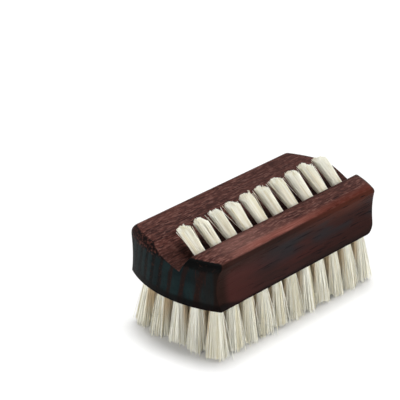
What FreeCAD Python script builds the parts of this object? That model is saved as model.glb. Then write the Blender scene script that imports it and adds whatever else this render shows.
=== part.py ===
# A small wooden nail brush, standing on the tips of its bottom tufts.
# One drilled block carries 55 tufts underneath and a row of 10 short tufts in a groove on top.
# X runs along the block, Y across it and Z upwards. The origin lies on the table, under the
# middle of the brush. All sizes are in millimetres and all angles in degrees.
import FreeCAD, Part
import math
import os

# Outline of the wooden block
block_length = 65.0
block_width = 31.0
shoulder_inset = 0.1
block_height = 13.1
end_bow = 4.1
end_round = 2.6
side_round = 1.5
foot_bevel = 0.4
cove_depth = 1.05

# Lopsided V groove along the top: a steep wall that is drilled, and a gentle slope for the nails
groove_depth = 4.2
steep_edge_from_middle = 7.2
groove_floor_from_middle = 4.9
gentle_edge_from_middle = 5.35
groove_edge_round = 0.6

# Bottom tufts: their holes stand in straight rows, a little nearer the front, and the outer ring fans out
bottom_trim = 13.9
bottom_bore = 3.3
bottom_bore_depth = 5.0
bottom_tip_width = 4.8
bottom_columns = 11
bottom_rows = 5
bottom_end_margin = 6.4
bottom_front_margin = 3.9
bottom_back_margin = 5.1
bottom_fan = 1.25
end_row_bow_share = 0.55

# Top tufts: one row, drilled into the steep wall and leaning over the gentle slope. Their tips are
# trimmed together, along a plane that tilts back from square to the bristles
top_reach = 8.3
top_bore = 3.3
top_bore_depth = 5.4
top_tip_width = 3.6
top_tufts = 10
top_end_margin = 7.3
top_lean_degrees = 50.0
top_trim_degrees = 30.0

# Anchor: the flat plate that a bundle of bristles is folded over
anchor_thickness = 0.4
anchor_height = 1.6
anchor_bite = 0.45
fold_thickness = 0.9

# Clearances, and how far a cutting shape runs past the wood
bristle_clearance = 0.05
anchor_clearance = 0.02
overrun = 2.0

# A hole and its tuft are drawn with flat sides, enough of them to look round
round_sides = 12
bow_sweep_degrees = 150.0

# Sizes that follow from the ones above
half_length = block_length / 2
half_width = block_width / 2
half_shoulder = half_width - shoulder_inset
wood_base = bottom_trim
wood_top = wood_base + block_height
bow_radius = (half_width ** 2 + end_bow ** 2) / (2 * end_bow)
bow_centre = half_length - bow_radius
steep_angle = math.atan2(groove_depth, steep_edge_from_middle - groove_floor_from_middle)
gentle_angle = math.atan2(groove_depth, gentle_edge_from_middle + groove_floor_from_middle)
column_pitch = (block_length - 2 * bottom_end_margin) / (bottom_columns - 1)
row_pitch = (block_width - bottom_front_margin - bottom_back_margin) / (bottom_rows - 1)
top_pitch = (block_length - 2 * top_end_margin) / (top_tufts - 1)

# How far the middle of a quarter-round arc lies inside the corner that it rounds
corner_share = 1 - math.sqrt(0.5)
side_inset = side_round * corner_share
end_inset = end_round * corner_share


def vec(x, y, z):
    return FreeCAD.Vector(x, y, z)


def arc(start, middle, end):
    return Part.Arc(start, middle, end).toShape()


def line(start, end):
    return Part.LineSegment(start, end).toShape()


def prism(edges):
    """Extrudes a closed outline, drawn across one end of the block, past its other end."""
    face = Part.Face(Part.Wire(edges))
    return face.extrude(vec(block_length + 2 * overrun, 0, 0))


def side_edges(side):
    """The edges of one long side, from the underside up: foot bevel, finger cove, rounded shoulder."""
    x = -half_length - overrun
    foot_z = wood_base + foot_bevel
    shoulder_z = wood_top - side_round
    foot_start = vec(x, side * (half_width - foot_bevel), wood_base)
    foot_end = vec(x, side * half_width, foot_z)
    cove_middle = vec(x, side * ((half_width + half_shoulder) / 2 - cove_depth), (foot_z + shoulder_z) / 2)
    shoulder_start = vec(x, side * half_shoulder, shoulder_z)
    shoulder_middle = vec(x, side * (half_shoulder - side_inset), wood_top - side_inset)
    shoulder_end = vec(x, side * (half_shoulder - side_round), wood_top)
    return [
        line(foot_start, foot_end),
        arc(foot_end, cove_middle, shoulder_start),
        arc(shoulder_start, shoulder_middle, shoulder_end),
    ]


def moulded_bar():
    """The long bar that the block is cut from, with its finished cross-section."""
    x = -half_length - overrun
    left = side_edges(-1)
    right = side_edges(1)
    base_half = half_width - foot_bevel
    top_half = half_shoulder - side_round
    underside = line(vec(x, -base_half, wood_base), vec(x, base_half, wood_base))
    top = line(vec(x, top_half, wood_top), vec(x, -top_half, wood_top))
    return prism([underside] + right + [top] + left[::-1])


def end_cutter():
    """What is cut away from the +X end: it leaves a bowed end with a rounded top and a bevelled foot."""
    outer = math.hypot(bow_radius + overrun, half_width) + overrun
    inner_foot = bow_radius - foot_bevel
    inner_top = bow_radius - end_round
    foot_corner = vec(inner_foot, 0, wood_base)
    foot_end = vec(bow_radius, 0, wood_base + foot_bevel)
    round_start = vec(bow_radius, 0, wood_top - end_round)
    round_middle = vec(bow_radius - end_inset, 0, wood_top - end_inset)
    round_end = vec(inner_top, 0, wood_top)
    below = vec(inner_foot, 0, wood_base - overrun)
    above = vec(inner_top, 0, wood_top + overrun)
    outer_above = vec(outer, 0, wood_top + overrun)
    outer_below = vec(outer, 0, wood_base - overrun)
    outline = Part.Wire([
        line(below, foot_corner),
        line(foot_corner, foot_end),
        line(foot_end, round_start),
        arc(round_start, round_middle, round_end),
        line(round_end, above),
        line(above, outer_above),
        line(outer_above, outer_below),
        line(outer_below, below),
    ])
    profile = Part.Face(outline)
    up = vec(0, 0, 1)
    profile.rotate(vec(0, 0, 0), up, -bow_sweep_degrees / 2)
    cutter = profile.revolve(vec(0, 0, 0), up, bow_sweep_degrees)
    cutter.translate(vec(bow_centre, 0, 0))
    return cutter


def eased_edge(side, edge_y, slope_angle):
    """Where the flat top turns over into a groove wall: two ends and the middle of a small arc."""
    x = -half_length - overrun
    reach = groove_edge_round * math.tan(slope_angle / 2)
    centre_y = edge_y + reach
    on_top = vec(x, side * centre_y, wood_top)
    middle_y = centre_y - groove_edge_round * math.sin(slope_angle / 2)
    middle_z = wood_top - groove_edge_round * (1 - math.cos(slope_angle / 2))
    on_wall_y = edge_y - reach * math.cos(slope_angle)
    on_wall_z = wood_top - reach * math.sin(slope_angle)
    return on_top, vec(x, side * middle_y, middle_z), vec(x, side * on_wall_y, on_wall_z)


def groove_cutter():
    """The V groove, open at both ends, with its steep wall towards -Y."""
    x = -half_length - overrun
    steep_top, steep_middle, steep_wall = eased_edge(-1, steep_edge_from_middle, steep_angle)
    gentle_top, gentle_middle, gentle_wall = eased_edge(1, gentle_edge_from_middle, gentle_angle)
    floor = vec(x, -groove_floor_from_middle, wood_top - groove_depth)
    steep_above = vec(x, steep_top.y, wood_top + overrun)
    gentle_above = vec(x, gentle_top.y, wood_top + overrun)
    return prism([
        arc(steep_top, steep_middle, steep_wall),
        line(steep_wall, floor),
        line(floor, gentle_wall),
        arc(gentle_wall, gentle_middle, gentle_top),
        line(gentle_top, gentle_above),
        line(gentle_above, steep_above),
        line(steep_above, steep_top),
    ])


def anchor_plate(bore, depth, clearance=0.0):
    """A flat plate across a hole, near its end. The hole's mouth is at the origin and faces +Z."""
    length = bore + 2 * anchor_bite + 2 * clearance
    thickness = anchor_thickness + 2 * clearance
    height = anchor_height + 2 * clearance
    bottom = fold_thickness - depth - clearance
    return Part.makeBox(length, thickness, height, vec(-length / 2, -thickness / 2, bottom))


def ring(width, x, y, z):
    """The flat-sided outline of a hole or a tuft at one height, as a list of corners."""
    corners = []
    for k in range(round_sides):
        turn = 2 * math.pi * (k + 0.5) / round_sides
        corners.append(vec(x + width / 2 * math.cos(turn), y + width / 2 * math.sin(turn), z))
    return corners


def flat_sided(rings):
    """A solid with flat sides through outlines stacked from the bottom up."""
    faces = [Part.Face(Part.makePolygon(end + end[:1])) for end in (rings[0], rings[-1])]
    for lower, upper in zip(rings, rings[1:]):
        for k in range(round_sides):
            corners = [lower[k - 1], lower[k], upper[k], upper[k - 1], lower[k - 1]]
            faces.append(Part.Face(Part.makePolygon(corners)))
    solid = Part.Solid(Part.Shell(faces))
    if solid.Volume < 0:
        solid.reverse()
    return solid


def drilled_hole(bore, depth):
    """A blind hole and the two slits that the anchor's ends cut in its wall."""
    hole = flat_sided([ring(bore, 0, 0, -depth), ring(bore, 0, 0, overrun)])
    return hole.fuse(anchor_plate(bore, depth, anchor_clearance))


def trimmed(mouth, tip, reach, trim_degrees):
    """The corners of a tuft's tip where a tilted plane, which meets its axis at its reach, cuts its sides."""
    rise = math.tan(math.radians(trim_degrees))
    corners = []
    for low, high in zip(mouth, tip):
        side = high - low
        share = (reach + low.y * rise) / (reach - side.y * rise)
        corners.append(low + side * share)
    return corners


def tuft(bore, depth, reach, tip_width, fan_x, fan_y, trim_degrees=0.0):
    """A bundle of bristles in its hole, slit for the anchor, and flaring to its cut tip."""
    root_width = bore - 2 * bristle_clearance
    root = ring(root_width, 0, 0, bristle_clearance - depth)
    mouth = ring(root_width, 0, 0, 0)
    tip = trimmed(mouth, ring(tip_width, fan_x, fan_y, reach), reach, trim_degrees)
    return flat_sided([root, mouth, tip]).cut(anchor_plate(bore, depth, anchor_clearance))


def placed(shape, x, y, z, lean_degrees):
    """Carries a shape from the origin to its hole. A lean of 0 faces up, and 180 faces down."""
    turn = FreeCAD.Rotation(vec(1, 0, 0), -lean_degrees)
    moved = shape.copy()
    moved.Placement = FreeCAD.Placement(vec(x, y, z), turn)
    return moved


def bow_at(y):
    """How far a bowed end stands out beyond the block's centre, across its width."""
    return bow_centre + math.sqrt(bow_radius ** 2 - y ** 2)


def bottom_seat(column, row):
    """The middle of a hole in the underside. Row 0 is the -Y row and column 0 the -X column."""
    x = (column - (bottom_columns - 1) / 2) * column_pitch
    y = bottom_front_margin + row * row_pitch - half_width
    if column in (0, bottom_columns - 1):
        corner_y = row_pitch * (bottom_rows - 1) / 2
        x += math.copysign(end_row_bow_share * (bow_at(y) - bow_at(corner_y)), x)
    return x, y


def is_outer(column, row):
    on_end = column in (0, bottom_columns - 1)
    on_side = row in (0, bottom_rows - 1)
    return on_end or on_side


def fan_of(column, row):
    """How far the tip of a bottom tuft leans out. Inner tufts stand upright."""
    if not is_outer(column, row):
        return 0.0, 0.0
    fan_x = bottom_fan * (2 * column / (bottom_columns - 1) - 1)
    fan_y = bottom_fan * (2 * row / (bottom_rows - 1) - 1)
    return fan_x, fan_y


def top_seat(number):
    """The middle of a hole in the steep wall of the groove."""
    x = (number - (top_tufts - 1) / 2) * top_pitch
    y = -(steep_edge_from_middle + groove_floor_from_middle) / 2
    z = wood_top - groove_depth / 2
    return x, y, z


def wooden_block():
    """The block: moulded bar, bowed ends, groove, and every drilled hole."""
    right_end = end_cutter()
    left_end = right_end.copy()
    left_end.rotate(vec(0, 0, 0), vec(0, 0, 1), 180)
    shaped = moulded_bar().cut([right_end, left_end, groove_cutter()])
    bottom_hole = drilled_hole(bottom_bore, bottom_bore_depth)
    top_hole = drilled_hole(top_bore, top_bore_depth)
    holes = []
    for row in range(bottom_rows):
        for column in range(bottom_columns):
            x, y = bottom_seat(column, row)
            holes.append(placed(bottom_hole, x, y, wood_base, 180))
    for number in range(top_tufts):
        x, y, z = top_seat(number)
        holes.append(placed(top_hole, x, y, z, top_lean_degrees))
    return shaped.cut(holes)


def bottom_tuft(column, row):
    x, y = bottom_seat(column, row)
    fan_x, fan_y = fan_of(column, row)
    # The tuft is turned over about X when it is placed, so its Y fan is drawn the other way
    bundle = tuft(bottom_bore, bottom_bore_depth, bottom_trim, bottom_tip_width, fan_x, -fan_y)
    return placed(bundle, x, y, wood_base, 180)


def top_tuft(number):
    bundle = tuft(top_bore, top_bore_depth, top_reach, top_tip_width, 0, 0, top_trim_degrees)
    return placed(bundle, *top_seat(number), top_lean_degrees)


def outer_tuft_name(column, row):
    if row == 0:
        return f"front_tuft_{column + 1:02d}"
    if row == bottom_rows - 1:
        return f"back_tuft_{column + 1:02d}"
    end = "left" if column == 0 else "right"
    return f"{end}_end_tuft_{row}"


def anchors_in_row(row):
    plate = anchor_plate(bottom_bore, bottom_bore_depth)
    plates = []
    for column in range(bottom_columns):
        x, y = bottom_seat(column, row)
        plates.append(placed(plate, x, y, wood_base, 180))
    return Part.makeCompound(plates)


def top_anchors():
    plate = anchor_plate(top_bore, top_bore_depth)
    seats = [top_seat(number) for number in range(top_tufts)]
    return Part.makeCompound([placed(plate, *seat, top_lean_degrees) for seat in seats])


def all_parts():
    """Every node of the brush, by name."""
    parts = {"wooden_block": wooden_block()}
    for number in range(top_tufts):
        parts[f"top_tuft_{number + 1:02d}"] = top_tuft(number)
    for row in range(bottom_rows):
        inner = []
        for column in range(bottom_columns):
            if is_outer(column, row):
                parts[outer_tuft_name(column, row)] = bottom_tuft(column, row)
            else:
                inner.append(bottom_tuft(column, row))
        if inner:
            parts[f"inner_tufts_row_{row + 1}"] = Part.makeCompound(inner)
        parts[f"bottom_anchors_row_{row + 1}"] = anchors_in_row(row)
    parts["top_anchors"] = top_anchors()
    return parts


os.makedirs("parts", exist_ok=True)
for name, shape in all_parts().items():
    shape.exportStep(f"parts/{name}.step")
    print(name, "solids", len(shape.Solids), "volume", round(shape.Volume, 2), "valid", shape.isValid())
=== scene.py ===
import math

import bmesh
import bpy
import numpy as np
from mathutils import Matrix, Vector


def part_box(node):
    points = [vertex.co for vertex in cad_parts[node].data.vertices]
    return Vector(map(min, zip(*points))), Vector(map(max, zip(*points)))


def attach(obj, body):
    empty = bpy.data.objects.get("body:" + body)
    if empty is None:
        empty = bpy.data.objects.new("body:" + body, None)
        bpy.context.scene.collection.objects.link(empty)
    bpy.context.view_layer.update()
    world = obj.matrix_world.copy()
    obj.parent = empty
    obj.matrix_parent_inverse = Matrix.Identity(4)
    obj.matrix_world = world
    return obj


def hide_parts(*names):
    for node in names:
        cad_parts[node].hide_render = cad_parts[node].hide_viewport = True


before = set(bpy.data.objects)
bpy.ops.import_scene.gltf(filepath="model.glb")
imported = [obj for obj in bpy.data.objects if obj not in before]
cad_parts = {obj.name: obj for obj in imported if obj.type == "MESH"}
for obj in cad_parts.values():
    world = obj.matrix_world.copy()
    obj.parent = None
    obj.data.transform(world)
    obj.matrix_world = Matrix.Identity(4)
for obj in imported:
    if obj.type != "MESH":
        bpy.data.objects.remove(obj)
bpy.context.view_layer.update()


# The wooden block: one piece of dark, heat-treated wood, moulded along its length, sawn to bowed
# ends, grooved and drilled, then rubbed with oil. Its end grain has soaked up the most oil.
wood_low, wood_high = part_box("wooden_block")
half_length = wood_high.x
half_width = wood_high.y
wood_base = wood_low.z
wood_top = wood_high.z
wood_middle = (wood_base + wood_top) / 2
end_bow = 0.0041
shoulder_inset = 0.0001
side_round = 0.0015
foot_round = 0.0004
cove_depth = 0.00105
rim_round = 0.0003
groove_depth = 0.0042
steep_edge = -0.0072
groove_floor = -0.0049
gentle_edge = 0.00535
groove_edge_round = 0.0006
groove_floor_round = 0.0002
half_shoulder = half_width - shoulder_inset
bow_radius = (half_width ** 2 + end_bow ** 2) / (2 * end_bow)
bow_centre = half_length - bow_radius

# The left end, at -1, has crisp corners and a deep round at its top. The right end, at 1, was
# sanded rounder at its foot and corners.
end_round = 0.0026
right_top_round = 0.0015
right_foot_round = 0.0026
left_corner_round = 0.0001
right_corner_round = 0.0003
sanded_top = {-1: end_round, 1: right_top_round}
sanded_foot = {-1: foot_round, 1: right_foot_round}
sanded_corner = {-1: left_corner_round, 1: right_corner_round}

# How finely the block's mesh is divided, and how near to a corner a flat's first point lies
arc_steps = 8
flat_steps = 10
cove_steps = 32
rim_steps = 4
long_steps = 26
flat_hold = 0.00015


def rounded_corner(corner, before, after, radius):
    """Points on the arc that rounds one corner of an outline."""
    to_before = (before - corner).normalized()
    to_after = (after - corner).normalized()
    half_angle = to_before.angle(to_after) / 2
    reach = radius / math.tan(half_angle)
    middle = (to_before + to_after).normalized()
    centre = corner + middle * radius / math.sin(half_angle)
    start = corner + to_before * reach - centre
    end = corner + to_after * reach - centre
    sweep = start.angle(end)
    points = []
    for k in range(arc_steps + 1):
        part = k / arc_steps
        blend_start = math.sin((1 - part) * sweep) / math.sin(sweep)
        blend_end = math.sin(part * sweep) / math.sin(sweep)
        points.append(centre + start * blend_start + end * blend_end)
    return points


def flat_points(start, end):
    """Points between two ends, with one held close to each so that the flat stays flat."""
    way = end - start
    near = flat_hold / way.length
    inner = [near + (1 - 2 * near) * k / flat_steps for k in range(1, flat_steps)]
    return [start + way * share for share in [near] + inner + [1 - near]]


def top_chain():
    """The top of the cross-section, from the middle of one shoulder to the middle of the other."""
    corners = [
        (Vector((-half_shoulder, wood_base)), 0.0),
        (Vector((-half_shoulder, wood_top)), side_round),
        (Vector((steep_edge, wood_top)), groove_edge_round),
        (Vector((groove_floor, wood_top - groove_depth)), groove_floor_round),
        (Vector((gentle_edge, wood_top)), groove_edge_round),
        (Vector((half_shoulder, wood_top)), side_round),
        (Vector((half_shoulder, wood_base)), 0.0),
    ]
    arcs = []
    for k in range(1, len(corners) - 1):
        corner, radius = corners[k]
        arcs.append(rounded_corner(corner, corners[k - 1][0], corners[k + 1][0], radius))
    chain = arcs[0][arc_steps // 2:]
    for before, after in zip(arcs, arcs[1:]):
        chain += flat_points(before[-1], after[0])
        chain += after
    return chain[:-(arc_steps // 2)]


def fallen(radius, past):
    """How far a quarter-round edge has fallen back, some way past the line where it starts."""
    past = min(radius, max(0.0, past))
    return radius - math.sqrt(radius ** 2 - past ** 2)


def side_reach(z):
    """How far a long side stands out at one height: cove, rounded foot and rounded shoulder."""
    low = wood_base + foot_round
    high = wood_top - side_round
    share = min(1.0, max(0.0, (z - low) / (high - low)))
    reach = half_width - shoulder_inset * share - 4 * cove_depth * share * (1 - share)
    return reach - fallen(foot_round, low - z) - fallen(side_round, z - high)


def side_chain():
    """The side at +Y, from the middle of the arc at its foot to the middle of the shoulder's."""
    low = Vector((half_width, wood_base + foot_round))
    high = Vector((half_shoulder, wood_top - side_round))
    foot_corner = Vector((half_width, wood_base))
    shoulder_corner = Vector((half_shoulder, wood_top))
    foot = rounded_corner(foot_corner, Vector((0, wood_base)), low, foot_round)
    shoulder = rounded_corner(shoulder_corner, high, Vector((0, wood_top)), side_round)
    cove = []
    for k in range(1, cove_steps):
        height = low.y + (high.y - low.y) * k / cove_steps
        cove.append(Vector((side_reach(height), height)))
    return foot[arc_steps // 2:] + cove + shoulder[:arc_steps // 2 + 1]


def block_outline():
    """The points once round the cross-section, and how many steps its top and one side have."""
    top = top_chain()
    right = side_chain()
    left = [Vector((-p.x, p.y)) for p in right]
    low_right = right[0]
    bottom = [Vector((p.x * low_right.x / top[-1].x, wood_base)) for p in top]
    bottom[0], bottom[-1] = left[0].copy(), low_right.copy()
    bottom[-2].x = (half_width - foot_round + low_right.x) / 2
    bottom[1].x = -bottom[-2].x
    outline = bottom[:-1] + right[:-1] + top[::-1][:-1] + left[::-1][:-1]
    return outline, len(top) - 1, len(right) - 1


def end_reach(sign, y, z):
    """How far a bowed end stands out at one place of the cross-section, with its rounded edges."""
    top, foot, corner = sanded_top[sign], sanded_foot[sign], sanded_corner[sign]
    radius = bow_radius - fallen(top, z - (wood_top - top)) - fallen(foot, wood_base + foot - z)
    reach = bow_centre + math.sqrt(radius ** 2 - y ** 2)
    return reach - fallen(corner, corner - (side_reach(z) - abs(y)))


def inset(outline, distance):
    """An outline drawn in by a distance, along the inward normal at each of its points."""
    count = len(outline)
    drawn = []
    for k in range(count):
        along = outline[(k + 1) % count] - outline[k - 1]
        inward = Vector((-along.y, along.x)).normalized()
        drawn.append(outline[k] + inward * distance)
    return drawn


def rim_rings(mesh, sign, outline):
    """The rings of points that round one rim over, from the long sides to the face of the end."""
    rings = []
    for k in range(rim_steps + 1):
        turn = math.pi / 2 * k / rim_steps
        ring = []
        for p in inset(outline, rim_round * (1 - math.cos(turn))):
            x = end_reach(sign, p.x, p.y) - rim_round * (1 - math.sin(turn))
            ring.append(mesh.verts.new((sign * x, p.x, p.y)))
        rings.append(ring)
    return rings


def end_grid(bottom, side_right, top, side_left):
    """The points inside four chains, blended from the chains across them and along them."""
    across = [(p.x - bottom[0].x) / (bottom[-1].x - bottom[0].x) for p in bottom]
    upward = [(p.y - side_right[0].y) / (side_right[-1].y - side_right[0].y) for p in side_right]
    rows = []
    for j, v in enumerate(upward):
        row = []
        for i, u in enumerate(across):
            straight_up = bottom[i].lerp(top[i], v)
            sideways = side_left[j].lerp(side_right[j], u)
            low = bottom[0].lerp(bottom[-1], u)
            high = top[0].lerp(top[-1], u)
            row.append(straight_up + sideways - low.lerp(high, v))
        rows.append(row)
    return rows


def close_end(mesh, sign, rim, drawn, across, up):
    """Closes one end with a grid of faces that starts at the last ring of its rim."""
    bottom = drawn[:across + 1]
    right = drawn[across:across + up + 1]
    top = drawn[across + up:2 * across + up + 1][::-1]
    left = (drawn[2 * across + up:] + drawn[:1])[::-1]
    grid = end_grid(bottom, right, top, left)
    verts = [[None] * (across + 1) for _ in range(up + 1)]
    for i in range(across + 1):
        verts[0][i] = rim[i]
        verts[up][across - i] = rim[across + up + i]
    for j in range(1, up):
        verts[j][across] = rim[across + j]
        verts[up - j][0] = rim[2 * across + up + j]
        for i in range(1, across):
            p = grid[j][i]
            verts[j][i] = mesh.verts.new((sign * end_reach(sign, p.x, p.y), p.x, p.y))
    for low, high in zip(verts, verts[1:]):
        for i in range(across):
            mesh.faces.new((low[i], low[i + 1], high[i + 1], high[i]))


def moulded_block():
    """The block's mesh: rings along its length, rounded over at each rim, and a grid on each end."""
    outline, across, up = block_outline()
    mesh = bmesh.new()
    left_rim = rim_rings(mesh, -1, outline)
    right_rim = rim_rings(mesh, 1, outline)
    middle = []
    for k in range(1, long_steps):
        share = k / long_steps
        pairs = zip(left_rim[0], right_rim[0])
        middle.append([mesh.verts.new(a.co.lerp(b.co, share)) for a, b in pairs])
    rings = left_rim[::-1] + middle + right_rim
    count = len(outline)
    for first, second in zip(rings, rings[1:]):
        for k in range(count):
            after = (k + 1) % count
            mesh.faces.new((first[k], first[after], second[after], second[k]))
    drawn = inset(outline, rim_round)
    close_end(mesh, -1, left_rim[-1], drawn, across, up)
    close_end(mesh, 1, right_rim[-1], drawn, across, up)
    bmesh.ops.recalc_face_normals(mesh, faces=mesh.faces)
    data = bpy.data.meshes.new("moulded_block")
    mesh.to_mesh(data)
    mesh.free()
    return data


def add_piece(name, data):
    """Puts a finished mesh into the scene as a piece at the origin."""
    piece = bpy.data.objects.new(name, data)
    bpy.context.scene.collection.objects.link(piece)
    return piece


class Amount:
    """A result on a socket of a node tree, with arithmetic that adds the nodes for it."""

    def __init__(self, recipe, socket):
        self.recipe = recipe
        self.socket = socket

    def math(self, operation, *operands):
        return self.recipe.add("ShaderNodeMath", {"operation": operation}, dict(enumerate(operands)))

    def __add__(self, other):
        return self.math("ADD", self, other)

    __radd__ = __add__

    def __sub__(self, other):
        return self.math("SUBTRACT", self, other)

    def __rsub__(self, other):
        return self.math("SUBTRACT", other, self)

    def __mul__(self, other):
        return self.math("MULTIPLY", self, other)

    __rmul__ = __mul__

    def __truediv__(self, other):
        return self.math("DIVIDE", self, other)

    def __rtruediv__(self, other):
        return self.math("DIVIDE", other, self)

    def __pow__(self, other):
        return self.math("POWER", self, other)

    def __rpow__(self, other):
        return self.math("POWER", other, self)

    def __neg__(self):
        return self * -1

    def __abs__(self):
        return self.math("ABSOLUTE", self)

    def sign(self):
        return self.math("SIGN", self)

    def most(self, other):
        return self.math("MAXIMUM", self, other)

    def least(self, other):
        return self.math("MINIMUM", self, other)

    def sine(self):
        return self.math("SINE", self)

    def cosine(self):
        return self.math("COSINE", self)

    def between(self, low, high):
        """0 at the low mark and below, 1 at the high mark and above, with eased ends."""
        sockets = {0: self, 1: low, 2: high}
        return self.recipe.add("ShaderNodeMapRange", {"interpolation_type": "SMOOTHSTEP"}, sockets)


class Recipe:
    """A node tree that is put together one node at a time."""

    def __init__(self, tree):
        self.tree = tree

    def feed(self, slot, value):
        """Links an amount to a socket, or sets a plain value on it."""
        if isinstance(value, Amount):
            self.tree.links.new(value.socket, slot)
        else:
            slot.default_value = value

    def add(self, kind, settings=None, sockets=None, result=0):
        """Adds a node, sets it up, feeds its sockets and gives back one of its results."""
        node = self.tree.nodes.new(kind)
        for key, value in (settings or {}).items():
            setattr(node, key, value)
        for key, value in (sockets or {}).items():
            self.feed(node.inputs[key], value)
        return Amount(self, node.outputs[result])

    def parts(self, place):
        """The three numbers of a place or a colour."""
        node = self.add("ShaderNodeSeparateXYZ", {}, {0: place}).socket.node
        return [Amount(self, socket) for socket in node.outputs]

    def blend(self, factor, first, second):
        """A colour between two colours."""
        return self.add("ShaderNodeMix", {"data_type": "RGBA"}, {0: factor, 6: first, 7: second}, 2)

    def stained(self, colour, stains):
        """A colour with others laid over it in turn, each as strongly as its factor says."""
        for factor, stain in stains:
            colour = self.blend(factor, colour, stain)
        return colour

    def noise(self, place, scales, detail=2.0, roughness=0.5):
        """Noise with its own scale along each axis."""
        sockets = {0: place, 1: scales}
        stretched = self.add("ShaderNodeVectorMath", {"operation": "MULTIPLY"}, sockets)
        sockets = {"Vector": stretched, "Scale": 1.0, "Detail": detail, "Roughness": roughness}
        return self.add("ShaderNodeTexNoise", {}, sockets)

    def mark(self, name):
        """A number that the mesh carries for each of its points."""
        return self.add("ShaderNodeAttribute", {"attribute_name": name}, result="Fac")


def new_material(name):
    """A new material, the recipe for its nodes, and its shader."""
    material = bpy.data.materials.new(name)
    material.use_nodes = True
    return material, Recipe(material.node_tree), material.node_tree.nodes["Principled BSDF"]


# The growth layers stand nearly on edge, lean and drift a little, and crowd together towards +Y
layer_pitch = 0.0032
layer_crowding = 16.7
layer_lean = 0.23
layer_drift = 0.012
layer_wander = 0.0012
layer_start = 0.22

# Where the colours change across the block, from where each change starts to where it is full.
# The first four are measured from the middle outwards, the rest along +Y. Among them are the
# painted highlight on the near lip and painted shade over the groove, on the far top and on the end.
near_pale = (0.004, 0.007)
near_lip = (half_width - 0.0034, half_width - 0.0020)
side_edge = (half_width - 0.0022, half_width - 0.0018)
end_edge = (half_width - 0.0021, half_width - 0.0013)
groove_shade_start = (steep_edge - 0.0016, steep_edge)
groove_shade_end = (0.0, gentle_edge)
far_shade = (0.002, 0.008)
brown_stain_end = (-0.0105, -0.0075)
red_streak_end = (-0.010, -0.004)
line_darkening = (-0.004, 0.004)
line_widening = (-0.002, 0.008)
end_shade = (0.004, 0.012)
black_front_end = (-0.004, 0.003)

# Where it changes on the way up, with the painted highlight on the lip and the painted shade
# under it, in the cove and along the foot
lip_rise = (wood_top - 0.0007, wood_top - 0.0001)
side_stop = (wood_top - 0.0006, wood_top - 0.0001)
under_lip_rise = (wood_top - 0.0052, wood_top - 0.0022)
cove_start = (wood_base + 0.003, wood_middle)
cove_stop = (wood_top - 0.004, wood_top - 0.002)
black_round_rise = (wood_top - end_round - 0.0004, wood_top - end_round + 0.0008)
black_round_raggedness = 0.0016
foot_line = 0.0012
foot_line_rise = 0.0014
foot_line_fade = (0.0, 0.0010)

# Where it changes on the way along the block from its left corners, and how much lines waver
corner_shade = (0.0012, 0.0042)
foot_line_fall = (0.0, 0.0080)
corner_waver = 0.002
groove_waver = 0.002
end_edge_waver = 0.001
foot_line_waver = 0.0008

# The surface: its gloss and roughness, what stands out or is sunk, and how ragged the line is
# where the end grain starts
oil_gloss = 0.03
wood_roughness = 0.40
fibre_roughness = 0.16
pore_roughness = 0.2
fibre_relief = 0.5
late_wood_relief = 0.08
relief_strength = 0.6
relief_depth = 0.00012
end_raggedness = 0.6
end_mark_range = (0.10, 0.70)


class Grain:
    """A point's place in the block, and the patterns that the block's faces share."""

    def __init__(self, recipe):
        place = recipe.add("ShaderNodeTexCoord", result="Object")
        self.end_mark = recipe.mark("end_grain")
        self.x, self.y, self.z = recipe.parts(place)

        # Each noise has its scales per metre along X, Y and Z. Most are drawn out along the grain.
        self.wander = recipe.noise(place, (14, 130, 130), 3.0) - 0.5
        self.late_wood = self.layers()
        self.broad = recipe.noise(place, (26, 420, 420), 3.0, 0.6)
        self.dashes = recipe.noise(place, (230, 1500, 1500), 2.0, 0.6)
        self.fibre = recipe.noise(place, (90, 2600, 2600), 3.0, 0.65)
        self.pore = recipe.noise(place, (160, 2600, 2600), 1.0, 0.4).between(0.62, 0.68)
        self.patch = recipe.noise(place, (60, 200, 200), 2.0)
        self.grit = recipe.noise(place, (560, 1900, 1900), 2.0, 0.6)
        self.speck = recipe.noise(place, (1500, 1500, 1500), 3.0, 0.6)
        self.streak = recipe.noise(place, (300, 1300, 130), 3.0, 0.6)
        self.from_left = self.x.between(-half_length, half_length)
        self.from_corner = self.x + half_length - end_bow + self.wander * corner_waver

    def layers(self):
        """1 in the middle of each layer of late wood, -1 in the middle of each of early wood."""
        upright = self.y + (self.z - wood_middle) * layer_lean
        layer = upright + self.x * layer_drift + self.wander * layer_wander
        layer = (layer + layer * layer * layer_crowding) / layer_pitch - layer_start
        return (layer * (2 * math.pi)).cosine()


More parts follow.
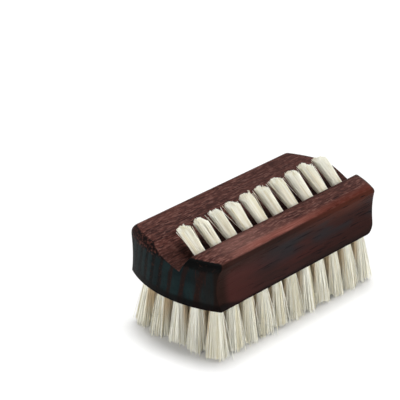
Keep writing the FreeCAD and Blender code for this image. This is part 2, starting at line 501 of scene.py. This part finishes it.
def top_wood(recipe, grain):
    """The top and the groove: red-brown layers with pores, fibres and grit, paler on the near rim in
    one place, with painted shade over the groove and on the far top.
    """
    layered = recipe.blend(
        grain.late_wood.between(0.2, 1.0) * 0.5,
        (0.092, 0.033, 0.026, 1),
        (0.052, 0.018, 0.015, 1),
    )
    # Paler on the near rim, some way in from the left end
    pale_patch = grain.from_left.between(0.01, 0.10) * (1 - grain.from_left.between(0.12, 0.6))
    pale_patch = pale_patch * (-grain.y).between(*near_pale)
    # Painted shade over the groove: full from its steep edge to the middle, fading out up its gentle
    # slope
    groove_shade = (grain.y + grain.wander * groove_waver).between(*groove_shade_start)
    groove_shade = groove_shade * (1 - grain.y.between(*groove_shade_end))
    return recipe.stained(layered, [
        (grain.broad.between(0.48, 0.60) * 0.7, (0.036, 0.012, 0.010, 1)),
        (grain.fibre.between(0.48, 0.72) * 0.5, (0.190, 0.075, 0.058, 1)),
        (grain.dashes.between(0.56, 0.74) * 0.6, (0.230, 0.115, 0.098, 1)),
        (grain.dashes.between(0.44, 0.30) * 0.8, (0.026, 0.009, 0.009, 1)),
        (grain.pore * 0.9, (0.008, 0.004, 0.005, 1)),
        (grain.grit.between(0.50, 0.64) * 0.6, (0.012, 0.004, 0.004, 1)),
        (grain.grit.between(0.47, 0.34) * 0.5, (0.240, 0.115, 0.095, 1)),
        (pale_patch * 0.35, (0.260, 0.125, 0.105, 1)),
        (grain.from_left * 0.25, (0.040, 0.014, 0.011, 1)),
        # painted shade towards the far side of the top
        (grain.y.between(*far_shade) * 0.2, (0.030, 0.009, 0.006, 1)),
        (groove_shade * 0.65, (0.022, 0.008, 0.006, 1)),
    ])


def lip_highlight(recipe, grain):
    """A painted highlight along the near shoulder: pale salmon at the left, deep red to the right."""
    pale_highlight = recipe.blend(
        grain.fibre.between(0.40, 0.70),
        (0.170, 0.050, 0.038, 1),
        (0.280, 0.108, 0.084, 1),
    )
    return recipe.blend(grain.from_left.between(0.42, 0.85), pale_highlight, (0.080, 0.016, 0.009, 1))


def on_lip(grain):
    """How far a point belongs to the near shoulder."""
    lip = (-grain.y).between(*near_lip) * grain.z.between(*lip_rise)
    return lip * grain.from_left.between(0.02, 0.20) * 0.75


def side_wood(recipe, grain):
    """The coved long sides: red at the left, then darker, with painted shade under the shoulder and
    painted shade and grey reflection in the cove.
    """
    side = recipe.blend(
        grain.broad.between(0.40, 0.62) * grain.from_left.between(0.03, 0.30),
        (0.045, 0.013, 0.011, 1),
        (0.023, 0.010, 0.009, 1),
    )
    # Painted shade just under the shoulder: dark at the left, turning red to the right
    under_lip_shade = recipe.blend(
        grain.from_left.between(0.3, 0.9),
        (0.014, 0.006, 0.004, 1),
        (0.060, 0.015, 0.008, 1),
    )
    # Painted shade and grey reflection, in patches in the cove, growing towards the right
    cove = grain.z.between(*cove_start) * (1 - grain.z.between(*cove_stop))
    cove = cove * grain.from_left.between(0.10, 0.45) * grain.patch.between(0.40, 0.58)
    return recipe.stained(side, [
        (grain.from_left.between(0.3, 0.9) * 0.6, (0.010, 0.004, 0.003, 1)),
        (grain.z.between(*under_lip_rise) * 0.75, under_lip_shade),
        (cove * 0.85, (0.014, 0.014, 0.016, 1)),
        (grain.fibre.between(0.50, 0.80) * 0.3, (0.060, 0.020, 0.015, 1)),
        (grain.pore * grain.from_left.between(0.05, 0.40) * 0.85, (0.004, 0.003, 0.004, 1)),
        (1 - grain.from_corner.between(*corner_shade), (0.016, 0.006, 0.004, 1)),
    ])


def on_side(grain):
    """How far a point belongs to a long side, below the shoulder."""
    return abs(grain.y).between(*side_edge) * (1 - grain.z.between(*side_stop))


def end_wood(recipe, grain):
    """The end grain: dark slabs of oiled early wood between brown lines of late wood. The slabs'
    blue-green tint, stronger towards the top, is a painted reflection.
    """
    # The blue-green of these slabs is a painted reflection on black oiled wood
    slab = recipe.blend(
        grain.patch.between(0.35, 0.65),
        (0.003, 0.008, 0.009, 1),
        (0.008, 0.018, 0.019, 1),
    )
    brown_stain = grain.streak.between(0.35, 0.6) * 0.4 + 0.4
    brown_stain = brown_stain * (1 - grain.y.between(*brown_stain_end))
    red_streak = grain.streak.between(0.56, 0.68) * (1 - grain.y.between(*red_streak_end))
    slab = recipe.stained(slab, [
        (brown_stain, (0.011, 0.008, 0.007, 1)),
        (red_streak * 0.8, (0.026, 0.008, 0.005, 1)),
        # painted reflection: bluer towards the top
        (grain.z.between(wood_base, wood_top) * 0.4, (0.004, 0.008, 0.009, 1)),
        (grain.speck.between(0.5, 0.7) * 0.4, (0.004, 0.004, 0.005, 1)),
    ])
    line = recipe.blend(
        grain.y.between(*line_darkening),
        (0.011, 0.005, 0.004, 1),
        (0.001, 0.001, 0.001, 1),
    )
    line = recipe.blend(grain.speck.between(0.52, 0.64) * 0.5, line, (0.030, 0.010, 0.006, 1))
    lines = grain.late_wood + grain.y.between(*line_widening) * 0.4 + (grain.streak - 0.5) * 1.2
    edges = (abs(grain.y) + grain.wander * end_edge_waver).between(*end_edge)
    return recipe.stained(slab, [
        (lines.between(0.1, 1.0) * 0.9, line),
        (edges * 0.9, (0.008, 0.004, 0.003, 1)),
        # painted shade: the end grain darker towards +Y
        (grain.y.between(*end_shade) * 0.5, (0.002, 0.004, 0.004, 1)),
    ])


def black_round_wood(recipe, grain):
    """The rounded top edge of the ends, black in front and mottled with red behind."""
    black_front = recipe.blend(
        grain.speck.between(0.60, 0.72) * 0.3,
        (0.001, 0.001, 0.001, 1),
        (0.050, 0.020, 0.015, 1),
    )
    mottled = recipe.blend(
        grain.speck.between(0.46, 0.62) * 0.8,
        (0.004, 0.002, 0.002, 1),
        (0.070, 0.025, 0.019, 1),
    )
    return recipe.blend(grain.y.between(*black_front_end), black_front, mottled)


def on_round(grain):
    """How far a point belongs to the rounded top edge of the ends, with a ragged start."""
    height = grain.z + (grain.speck - 0.5) * black_round_raggedness + (grain.patch - 0.5) * black_round_raggedness
    return height.between(*black_round_rise)


def on_foot_shade(grain):
    """How far a point belongs to the painted shade along the foot: a dark line, higher at the left
    end.
    """
    rise = (1 - grain.from_corner.between(*foot_line_fall)) * foot_line_rise
    depth = wood_base + foot_line + rise - grain.z + grain.wander * foot_line_waver
    return depth.between(*foot_line_fade)


def oiled_wood():
    """Dark red-brown wood: growth layers, long pores, painted light and shade, end grain black with
    oil.
    """
    material, recipe, surface = new_material("oiled_dark_wood")
    grain = Grain(recipe)
    # The near shoulder shows a painted highlight in place of the top's own colour
    top = recipe.blend(on_lip(grain), top_wood(recipe, grain), lip_highlight(recipe, grain))
    long_grain = recipe.blend(on_side(grain), top, side_wood(recipe, grain))
    ends = recipe.blend(on_round(grain), end_wood(recipe, grain), black_round_wood(recipe, grain))
    on_end = (grain.end_mark + (grain.speck - 0.5) * end_raggedness).between(*end_mark_range)
    colour = recipe.stained(long_grain, [
        (on_end, ends),
        # painted shade along the foot
        (on_foot_shade(grain) * 0.85, (0.002, 0.001, 0.001, 1)),
    ])
    recipe.feed(surface.inputs["Base Color"], colour)
    roughness = wood_roughness + grain.fibre * fibre_roughness + grain.pore * pore_roughness
    recipe.feed(surface.inputs["Roughness"], roughness)
    surface.inputs["Specular IOR Level"].default_value = oil_gloss
    sunk_pores = grain.pore * (1 - grain.end_mark)
    relief = grain.fibre * fibre_relief - sunk_pores - grain.late_wood * late_wood_relief
    bump = {"Height": relief, "Strength": relief_strength, "Distance": relief_depth}
    recipe.feed(surface.inputs["Normal"], recipe.add("ShaderNodeBump", {}, bump))
    return material


# The holes: blind, round, and drilled square to the underside, or along the lean of the top tufts
bottom_bore = 0.0033
bottom_bore_depth = 0.005
bottom_columns = 11
bottom_rows = 5
bottom_end_margin = 0.0064
bottom_front_margin = 0.0039
bottom_back_margin = 0.0051
end_row_bow_share = 0.55
top_bore = 0.0033
top_bore_depth = 0.0054
top_tufts = 10
top_end_margin = 0.0073
top_lean = math.radians(50)
drill_overrun = 0.002
drill_sides = 28
crease_angle = math.radians(35)


def set_upright(x, y, z, lean):
    """Carries a shape from the origin to its hole. A lean of 0 faces up, and half a turn down."""
    return Matrix.Translation((x, y, z)) @ Matrix.Rotation(-lean, 4, "X")


def bottom_seat(column, row):
    """The place of one hole in the underside."""
    column_pitch = (2 * half_length - 2 * bottom_end_margin) / (bottom_columns - 1)
    row_pitch = (2 * half_width - bottom_front_margin - bottom_back_margin) / (bottom_rows - 1)
    x = (column - (bottom_columns - 1) / 2) * column_pitch
    y = bottom_front_margin + row * row_pitch - half_width
    if column in (0, bottom_columns - 1):
        corner_y = row_pitch * (bottom_rows - 1) / 2
        bow = math.sqrt(bow_radius ** 2 - y ** 2) - math.sqrt(bow_radius ** 2 - corner_y ** 2)
        x += math.copysign(end_row_bow_share * bow, x)
    return set_upright(x, y, wood_base, math.pi)


def top_seat(number):
    """The place of one hole in the steep wall of the groove."""
    pitch = (2 * half_length - 2 * top_end_margin) / (top_tufts - 1)
    x = (number - (top_tufts - 1) / 2) * pitch
    return set_upright(x, (steep_edge + groove_floor) / 2, wood_top - groove_depth / 2, top_lean)


def plain_mesh(carrier, modifier):
    """What a node tree has made, as a mesh of its own. The modifier is taken off again."""
    bpy.context.view_layer.update()
    evaluated = carrier.evaluated_get(bpy.context.evaluated_depsgraph_get())
    data = bpy.data.meshes.new_from_object(evaluated)
    carrier.modifiers.remove(modifier)
    return data


def new_tree(name, inputs, output):
    """A node tree for meshes, with its named inputs by kind of socket and one mesh as its result."""
    tree = bpy.data.node_groups.new(name, "GeometryNodeTree")
    for kind, names in inputs.items():
        for title in names:
            tree.interface.new_socket(title, in_out="INPUT", socket_type="NodeSocket" + kind)
    tree.interface.new_socket(output, in_out="OUTPUT", socket_type="NodeSocketGeometry")
    recipe = Recipe(tree)
    given = tree.nodes.new("NodeGroupInput")
    return tree, recipe, {socket.name: Amount(recipe, socket) for socket in given.outputs}


def close_tree(recipe, result):
    """Feeds the result of a node tree for meshes."""
    recipe.feed(recipe.tree.nodes.new("NodeGroupOutput").inputs[0], result)


def run_tree(tree, data, values):
    """The mesh that a node tree makes from a mesh and named values."""
    carrier = add_piece("carrier", data)
    modifier = carrier.modifiers.new("made", "NODES")
    modifier.node_group = tree
    sockets = {item.name: item.identifier for item in tree.interface.items_tree}
    for name, value in values.items():
        modifier[sockets[name]] = value
    made = plain_mesh(carrier, modifier)
    bpy.data.objects.remove(carrier)
    return made


def drill_tree():
    """Node tree: cuts a round hole at each point of the seats object, turned by its lean."""
    inputs = {"Geometry": ["Wood"], "Float": ["Bore", "Length"], "Object": ["Seats"]}
    tree, recipe, value = new_tree("drilled_holes", inputs, "Drilled")
    size = {"Vertices": drill_sides, "Radius": value["Bore"] / 2, "Depth": value["Length"]}
    drill = recipe.add("GeometryNodeMeshCylinder", {}, size)
    seats = recipe.add("GeometryNodeObjectInfo", {}, {"Object": value["Seats"]}, "Geometry")
    lean = recipe.add("GeometryNodeInputNamedAttribute", {"data_type": "FLOAT"}, {"Name": "lean"})
    turn = recipe.add("ShaderNodeCombineXYZ", {}, {"X": -lean})
    places = {"Points": seats, "Instance": drill, "Rotation": turn}
    drills = recipe.add("GeometryNodeInstanceOnPoints", {}, places)
    drills = recipe.add("GeometryNodeRealizeInstances", {}, {0: drills})
    shapes = {0: value["Wood"], 1: drills}
    close_tree(recipe, recipe.add("GeometryNodeMeshBoolean", {"operation": "DIFFERENCE"}, shapes))
    return tree


drilled_holes = drill_tree()


def drilled(data, seats, lean, bore, depth):
    """The block's mesh with a row or field of like holes cut in it."""
    length = depth + drill_overrun
    middles = [seat @ Vector((0, 0, drill_overrun - length / 2)) for seat in seats]
    points = bpy.data.meshes.new("seats")
    points.from_pydata(middles, [], [])
    points.attributes.new("lean", "FLOAT", "POINT").data.foreach_set("value", [lean] * len(seats))
    marks = add_piece("seats", points)
    cut = run_tree(drilled_holes, data, {"Bore": bore, "Length": length, "Seats": marks})
    bpy.data.objects.remove(marks)
    return cut


bottom_seats = []
for row in range(bottom_rows):
    bottom_seats += [bottom_seat(column, row) for column in range(bottom_columns)]
top_seats = [top_seat(number) for number in range(top_tufts)]
block_data = drilled(moulded_block(), bottom_seats, math.pi, bottom_bore, bottom_bore_depth)
block_data = drilled(block_data, top_seats, top_lean, top_bore, top_bore_depth)
block_data.shade_smooth()
block_data.set_sharp_from_angle(angle=crease_angle)

# A face counts as end grain as its normal turns from across the length to along it
end_grain_start = 0.20
end_grain_full = 0.60
hole_tolerance = foot_round / 10


def eased(values, low, high):
    """0 at the low mark and below, 1 at the high mark and above, with eased ends."""
    share = np.clip((values - low) / (high - low), 0, 1)
    return share * share * (3 - 2 * share)


def mark_block(data):
    """Tells the wood's finish where it is end grain. The walls of the holes aren't."""
    count = len(data.vertices)
    places, facing = np.zeros(count * 3), np.zeros(count * 3)
    data.vertices.foreach_get("co", places)
    data.vertices.foreach_get("normal", facing)
    places, facing = places.reshape(-1, 3), np.abs(facing.reshape(-1, 3))
    end_grain = eased(facing[:, 0], end_grain_start, end_grain_full)
    bottom = (bottom_seats, bottom_bore, bottom_bore_depth)
    top = (top_seats, top_bore, top_bore_depth)
    for seats, bore, depth in (bottom, top):
        for seat in seats:
            local = (places - np.array(seat.translation)) @ np.array(seat.to_3x3())
            inside = np.hypot(local[:, 0], local[:, 1]) < bore / 2 + hole_tolerance
            inside &= (local[:, 2] > -depth - foot_round) & (local[:, 2] < bore / 4)
            end_grain[inside] = 0
    data.attributes.new("end_grain", "FLOAT", "POINT").data.foreach_set("value", end_grain)


mark_block(block_data)
block = add_piece("drilled_wooden_block", block_data)
block.data.materials.clear()
block.data.materials.append(oiled_wood())
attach(block, "root")
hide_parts("wooden_block")


# The tufts: bundles of natural bristle. Each is folded in the middle over a flat metal plate and
# driven into its hole. Once the block is full, the bottom ones are cut straight and the top ones
# at a slant.
bottom_tip_width = 0.0055
bottom_fan = 0.00125
left_fan = 0.0010
right_fan = 0.0003
bottom_splay = 0.0013
bottom_stray = 0.0012
bottom_clump = 0.0014
# How strong the painted shade in tan is at the roots of the bottom tufts
bottom_root_shade = 1.0
top_reach_first = 0.0090
top_reach_last = 0.0100
top_tip_width = 0.0034
top_splay = 0.0004
top_stray = 0.0016
top_clump = 0.0006
# and at the roots of the top tufts
top_root_shade = 0.15
top_dome = 0.0008
top_trim = math.radians(30)
uneven_cut = 0.0008
bundle_clearance = 0.0002
anchor_half_thickness = 0.0002
fold_height = 0.0009
strands_in_outer_tuft = 250
strands_in_inner_tuft = 190
strands_in_top_tuft = 250
strand_width = 0.00013
strand_points = 16
strand_sides = 3

# A strand's shape: the share of it that bends over the plate, how it slips in its place, how it
# flares and bows, and how few stand away from the bundle. Its neighbours lean with it in clumps,
# and are partly alike in how they are cut and in tone.
fold_share = 0.3
fold_slope = 0.4
seat_jitter_share = 0.35
flare_power = 0.9
bow_share = 0.12
splay_power = 3
stray_power = 24
clump_scale = 1500.0
clump_leg_gap = 0.001
plate_hold_share = 0.6
cut_scatter_share = 0.5
cut_clump_range = (0.35, 0.65)
tone_clump_range = (0.3, 0.7)
tone_clump_share = 0.5
# How far a strand must fan outwards to be free of the painted root shade
unshaded_fan_share = 0.5
golden_angle = math.pi * (3 - math.sqrt(5))

# Each tuft has its own random draws
seeds_in_tuft = 20
column_seed = 7
row_seed = 101
top_seed = 1000
top_number_seed = 13


def bristle_material():
    """Cream bristle, each strand of its own tone, with painted shade in tan towards the root where
    the strands don't face out of the brush.
    """
    material, recipe, surface = new_material("cream_bristle")
    tone = recipe.mark("tone")
    place = recipe.add("ShaderNodeTexCoord", result="Object")
    fleck = recipe.noise(place, (900, 900, 900))
    # Painted shade in tan near the roots, as strong as the tan mark says
    shaded_root = (1 - recipe.mark("height").between(0.1, 0.85)) * recipe.mark("tan")
    cream = recipe.blend(tone.between(0.0, 0.6), (0.78, 0.72, 0.52, 1), (0.99, 0.98, 0.88, 1))
    colour = recipe.stained(cream, [
        (shaded_root * 0.85, (0.74, 0.57, 0.34, 1)),
        (fleck.between(0.55, 0.80) * 0.3, (0.97, 0.95, 0.90, 1)),
    ])
    recipe.feed(surface.inputs["Base Color"], colour)
    recipe.feed(surface.inputs["Roughness"], 0.38 + tone * 0.2)
    return material


def strand_shape(recipe, value):
    """The place of each point of each folded strand, and the strand's tone, height and painted root
    shade.
    """
    number = recipe.add("GeometryNodeCurveOfPoint")
    along = recipe.add("GeometryNodeSplineParameter")
    side = (along - 0.5).sign()
    from_fold = abs(along * 2 - 1)
    leg = ((from_fold - fold_share) / (1 - fold_share)).most(0.0)
    bend = (from_fold / fold_share).least(1.0) * (math.pi / 2)
    leg_number = number * 2 + side

    def chance(offset, low=-1.0, high=1.0):
        """A random number for each leg of each strand."""
        sockets = {2: low, 3: high, "ID": leg_number, "Seed": value["Seed"] + offset}
        return recipe.add("FunctionNodeRandomValue", {"data_type": "FLOAT"}, sockets, 1)

    # The strands fill the hole in a sunflower's order, half of each strand on each side
    share_out = (number + 0.5) / value["Strands"]
    out = share_out ** 0.5 * (value["Root width"] - value["Strand width"]) / 2
    turn = number * golden_angle
    jitter = value["Strand width"] * seat_jitter_share
    seat_x = out * turn.cosine() + jitter * chance(1)
    seat_y = abs(out * turn.sine()) + jitter * chance(2)
    clump_place = {0: seat_x, 1: seat_y * side, 2: side * clump_leg_gap}
    clump_place = recipe.add("ShaderNodeCombineXYZ", {}, clump_place)
    clump = {"Vector": clump_place, "W": value["Seed"], "Scale": clump_scale, "Detail": 0.0}
    clump = recipe.add("ShaderNodeTexNoise", {"noise_dimensions": "4D"}, clump, "Color")
    clump_x, clump_y, clump_z = recipe.parts(clump)

    # From the fold each leg rises to where it is cut
    spread = value["Tip width"] / value["Root width"]
    drop = value["Depth"] - value["Fold height"]
    slanted = seat_y * side * spread * value["Trim slope"]
    uneven = chance(3, 0.0, 1.0) ** 2 * cut_scatter_share + clump_z.between(*cut_clump_range)
    tip_z = value["Reach"] + slanted - value["Dome"] * share_out - value["Ragged"] * uneven
    fold_drop = bend.cosine() * (abs(seat_y) * fold_slope + value["Strand width"])
    z = leg * (tip_z + drop) - drop - fold_drop

    # In the hole it stands beside the plate, and past its mouth it flares, leans and strays
    free = (z / value["Reach"]).most(0.0)
    in_hole = 1 - (z / value["Depth"]).between(-plate_hold_share, 0.0)
    beside_plate = seat_y.most(value["Plate gap"])
    root_y = (seat_y + in_hole * (beside_plate - seat_y)) * side * bend.sine()
    flare = free ** flare_power
    wide = 1 + (spread - 1) * flare
    splayed = chance(4) ** splay_power * value["Splay"]
    strayed = chance(9, 0.0, 1.0) ** stray_power * value["Stray"]
    astray = splayed + strayed
    astray_turn = chance(5) * math.pi
    bow = (free * math.pi).sine() * value["Splay"] * bow_share
    lean_x = value["Fan X"] + astray * astray_turn.cosine() + (clump_x - 0.5) * value["Clump"]
    lean_y = value["Fan Y"] + astray * astray_turn.sine() + (clump_y - 0.5) * value["Clump"]
    place_x = seat_x * wide + flare * lean_x + bow * chance(6)
    place_y = root_y * wide + flare * lean_y + bow * chance(7)
    place = recipe.add("ShaderNodeCombineXYZ", {}, {0: place_x, 1: place_y, 2: z})

    # Strands that fan outwards keep a cream root; the rest take painted shade in tan there
    outward = seat_x * value["Fan X"] + seat_y * side * value["Fan Y"]
    outward = outward / (value["Root width"] / 2 * bottom_fan)
    own_tone = chance(8, 0.0, 1.0) * (1 - tone_clump_share)
    marks = {
        "tone": own_tone + clump_x.between(*tone_clump_range) * tone_clump_share,
        "height": z / value["Reach"],
        "tan": value["Root shade"] * (1 - outward.between(0.0, unshaded_fan_share)),
    }
    return place, marks


def strand_tree():
    """Node tree: one tuft of folded strands, with the mouth of its hole at the origin facing +Z."""
    bundle = ["Root width", "Tip width", "Reach", "Depth", "Fold height", "Plate gap"]
    looseness = ["Strand width", "Fan X", "Fan Y", "Splay", "Stray", "Clump", "Ragged", "Root shade"]
    trim = ["Trim slope", "Dome"]
    inputs = {"Float": bundle + looseness + trim, "Int": ["Strands", "Seed"], "Material": ["Finish"]}
    tree, recipe, value = new_tree("folded_strands", inputs, "Tuft")

    strand = recipe.add("GeometryNodeCurvePrimitiveLine")
    sockets = {"Curve": strand, "Count": strand_points}
    strand = recipe.add("GeometryNodeResampleCurve", {}, sockets)
    sockets = {"Geometry": strand, "Amount": value["Strands"]}
    strand = recipe.add("GeometryNodeDuplicateElements", {"domain": "SPLINE"}, sockets)
    place, marks = strand_shape(recipe, value)
    sockets = {"Geometry": strand, "Position": place}
    strand = recipe.add("GeometryNodeSetPosition", {}, sockets)
    for name, amount in marks.items():
        kind = {"data_type": "FLOAT", "domain": "POINT"}
        sockets = {"Geometry": strand, "Name": name, "Value": amount}
        strand = recipe.add("GeometryNodeStoreNamedAttribute", kind, sockets)

    sockets = {"Resolution": strand_sides, "Radius": value["Strand width"] / 2}
    profile = recipe.add("GeometryNodeCurvePrimitiveCircle", {"mode": "RADIUS"}, sockets)
    sockets = {"Curve": strand, "Profile Curve": profile, "Fill Caps": True}
    mesh = recipe.add("GeometryNodeCurveToMesh", {}, sockets)
    mesh = recipe.add("GeometryNodeSetShadeSmooth", {}, {"Geometry": mesh})
    mesh = recipe.add("GeometryNodeRealizeInstances", {}, {"Geometry": mesh})
    sockets = {"Geometry": mesh, "Material": value["Finish"]}
    close_tree(recipe, recipe.add("GeometryNodeSetMaterial", {}, sockets))
    return tree


bristle = bristle_material()
folded_strands = strand_tree()


def tuft_mesh(values, seat):
    """One tuft's mesh, made by the node tree from named values and moved to its hole."""
    data = run_tree(folded_strands, bpy.data.meshes.new("tuft"), values)
    data.transform(seat)
    return data


def common_values(bore, depth, reach, tip_width, strands, seed):
    """The values that every tuft has."""
    return {
        "Root width": bore - 2 * bundle_clearance,
        "Tip width": tip_width,
        "Reach": reach,
        "Depth": depth,
        "Fold height": fold_height,
        "Plate gap": anchor_half_thickness + strand_width / 2,
        "Strand width": strand_width,
        "Ragged": uneven_cut,
        "Strands": strands,
        "Seed": seed * seeds_in_tuft,
        "Finish": bristle,
    }


def bottom_tuft(column, row):
    """The mesh of one bottom tuft, turned over and set in its hole. The outer ones fan out."""
    from_middle_x = 2 * column / (bottom_columns - 1) - 1
    from_middle_y = 2 * row / (bottom_rows - 1) - 1
    outer = abs(from_middle_x) == 1 or abs(from_middle_y) == 1
    strands = strands_in_outer_tuft if outer else strands_in_inner_tuft
    end_fan = left_fan if from_middle_x < 0 else right_fan
    seed = column_seed * column + row_seed * row
    reach = wood_base
    values = common_values(bottom_bore, bottom_bore_depth, reach, bottom_tip_width, strands, seed)
    values["Fan X"] = end_fan * from_middle_x if outer else 0.0
    values["Fan Y"] = -bottom_fan * from_middle_y if outer else 0.0
    values["Splay"] = bottom_splay
    values["Stray"] = bottom_stray
    values["Clump"] = bottom_clump
    values["Root shade"] = bottom_root_shade
    return tuft_mesh(values, bottom_seat(column, row))


def top_tuft(number):
    """The mesh of one top tuft, leaning out of the steep wall of the groove."""
    reach = top_reach_first + (top_reach_last - top_reach_first) * number / (top_tufts - 1)
    seed = top_seed + top_number_seed * number
    strands = strands_in_top_tuft
    values = common_values(top_bore, top_bore_depth, reach, top_tip_width, strands, seed)
    values["Splay"] = top_splay
    values["Stray"] = top_stray
    values["Clump"] = top_clump
    values["Root shade"] = top_root_shade
    values["Trim slope"] = math.tan(top_trim)
    values["Dome"] = top_dome
    return tuft_mesh(values, top_seat(number))


def joined(meshes):
    """Several meshes as one, with their marks kept."""
    form = bmesh.new()
    for data in meshes:
        form.from_mesh(data)
    whole = bpy.data.meshes.new("tufts")
    form.to_mesh(whole)
    form.free()
    whole.materials.append(bristle)
    return whole


def finish_tufts(node, meshes):
    """Makes one piece of one or more tufts, in place of their node."""
    piece = add_piece(node + "_bristles", joined(meshes))
    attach(piece, "root")
    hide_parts(node)


for number in range(top_tufts):
    finish_tufts(f"top_tuft_{number + 1:02d}", [top_tuft(number)])
for column in range(bottom_columns):
    finish_tufts(f"front_tuft_{column + 1:02d}", [bottom_tuft(column, 0)])
    finish_tufts(f"back_tuft_{column + 1:02d}", [bottom_tuft(column, bottom_rows - 1)])
for row in range(1, bottom_rows - 1):
    finish_tufts(f"left_end_tuft_{row}", [bottom_tuft(0, row)])
    finish_tufts(f"right_end_tuft_{row}", [bottom_tuft(bottom_columns - 1, row)])
    inner = [bottom_tuft(column, row) for column in range(1, bottom_columns - 1)]
    finish_tufts(f"inner_tufts_row_{row + 1}", inner)


# The anchors: short flat plates cut from bright wire, one across each hole under the folds of
# its strands. They stay as they are in the frame and only get their metal.
def bright_wire():
    """Drawn steel with fine lines along the wire."""
    material, recipe, surface = new_material("bright_flat_wire")
    place = recipe.add("ShaderNodeTexCoord", result="Object")
    drawn = recipe.noise(place, (300, 9000, 9000))
    steel = recipe.blend(drawn, (0.50, 0.50, 0.48, 1), (0.66, 0.66, 0.64, 1))
    recipe.feed(surface.inputs["Base Color"], steel)
    recipe.feed(surface.inputs["Roughness"], 0.25 + drawn * 0.2)
    surface.inputs["Metallic"].default_value = 1.0
    return material


wire = bright_wire()
anchor_rows = [f"bottom_anchors_row_{row + 1}" for row in range(bottom_rows)]
for node in anchor_rows + ["top_anchors"]:
    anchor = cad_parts[node]
    anchor.data.materials.clear()
    anchor.data.materials.append(wire)


# The floor: a plain white sheet that the brush stands on. A little light of its own makes it
# white to the camera and in reflections, and it keeps the brush's shadow.
floor_half = 1.5
floor_white = 0.93
floor_glow = 0.03


def background_seen(recipe):
    """1 for the rays that show the background, 0 for those that only light the brush."""
    camera_ray = recipe.add("ShaderNodeLightPath", result="Is Camera Ray")
    outputs = camera_ray.socket.node.outputs
    glossy_ray = Amount(recipe, outputs["Is Glossy Ray"])
    return camera_ray.most(glossy_ray).most(Amount(recipe, outputs["Is Transmission Ray"]))


def white_floor():
    """Matt white, with the glow that only the background's rays see."""
    material, recipe, surface = new_material("white_floor")
    surface.inputs["Base Color"].default_value = (floor_white, floor_white, floor_white, 1)
    surface.inputs["Roughness"].default_value = 1.0
    surface.inputs["Specular IOR Level"].default_value = 0.0
    glowing = (floor_glow, floor_glow, floor_glow, 1)
    glow = recipe.blend(background_seen(recipe), (0, 0, 0, 1), glowing)
    recipe.feed(surface.inputs["Emission Color"], glow)
    surface.inputs["Emission Strength"].default_value = 1.0
    return material


floor_data = bpy.data.meshes.new("floor")
turns = [(-1, -1), (1, -1), (1, 1), (-1, 1)]
corners = [(x * floor_half, y * floor_half, 0) for x, y in turns]
floor_data.from_pydata(corners, [], [(0, 1, 2, 3)])
floor_data.materials.append(white_floor())
floor = add_piece("floor", floor_data)


# The light: a pale tent all round, a soft lamp overhead that casts the shadow, and a broad low
# lamp on each side of the camera, one for the left end and one for the near side.
tent_strength = 0.24

# Each lamp's strength, how wide it looks from the brush, and the way to it
lamps = {
    "overhead": (2.40, math.radians(19), Vector((0.11, 0.08, 1.0))),
    "left": (2.45, math.radians(50), Vector((-0.92, -0.30, 0.06))),
    "right": (2.00, math.radians(50), Vector((0.32, -0.92, 0.10))),
}

world = bpy.data.worlds.new("tent")
bpy.context.scene.world = world
world.use_nodes = True
tent = world.node_tree.nodes["Background"]
tent_recipe = Recipe(world.node_tree)
tent.inputs["Color"].default_value = (1, 1, 1, 1)
white_seen = background_seen(tent_recipe) * (1 - tent_strength)
tent_recipe.feed(tent.inputs["Strength"], tent_strength + white_seen)

for name, (strength, angle, direction) in lamps.items():
    lamp_data = bpy.data.lights.new(name, "SUN")
    lamp_data.energy = strength
    lamp_data.angle = angle
    lamp = bpy.data.objects.new(name, lamp_data)
    bpy.context.scene.collection.objects.link(lamp)
    lamp.rotation_euler = direction.to_track_quat("Z", "Y").to_euler()


# The camera: it looks down at the near left corner, as in the photograph. The pixel where its
# target shows gives how far it stands aside.
image_width = 400
target_above_base = 0.00482
target_pixel_x = 254.8
target_pixel_y = 234.1
camera_azimuth = math.radians(-45.25)
camera_elevation = math.radians(27.33)
camera_roll = math.radians(-0.71)
camera_distance = 0.496
focal_pixels = 1961.0
sensor_width = 36.0
clip_start = 0.01

target = Vector((0, 0, wood_base + target_above_base))
back = Vector((
    math.sin(camera_azimuth) * math.cos(camera_elevation),
    -math.cos(camera_azimuth) * math.cos(camera_elevation),
    math.sin(camera_elevation),
))
level_right = Vector((math.cos(camera_azimuth), math.sin(camera_azimuth), 0))
level_up = back.cross(level_right)
right = level_right * math.cos(camera_roll) + level_up * math.sin(camera_roll)
up = level_up * math.cos(camera_roll) - level_right * math.sin(camera_roll)
aside = (target_pixel_x - image_width / 2) / focal_pixels * camera_distance
above = -(target_pixel_y - image_width / 2) / focal_pixels * camera_distance
camera_place = target + back * camera_distance - right * aside - up * above
camera_data = bpy.data.cameras.new("camera")
camera_data.sensor_width = sensor_width
camera_data.lens = focal_pixels / image_width * sensor_width
camera_data.clip_start = clip_start
camera = bpy.data.objects.new("camera", camera_data)
bpy.context.scene.collection.objects.link(camera)
turn = Matrix((right, up, back)).transposed().to_4x4()
camera.matrix_world = Matrix.Translation(camera_place) @ turn
bpy.context.scene.camera = camera
bpy.context.scene.view_settings.view_transform = "Standard"
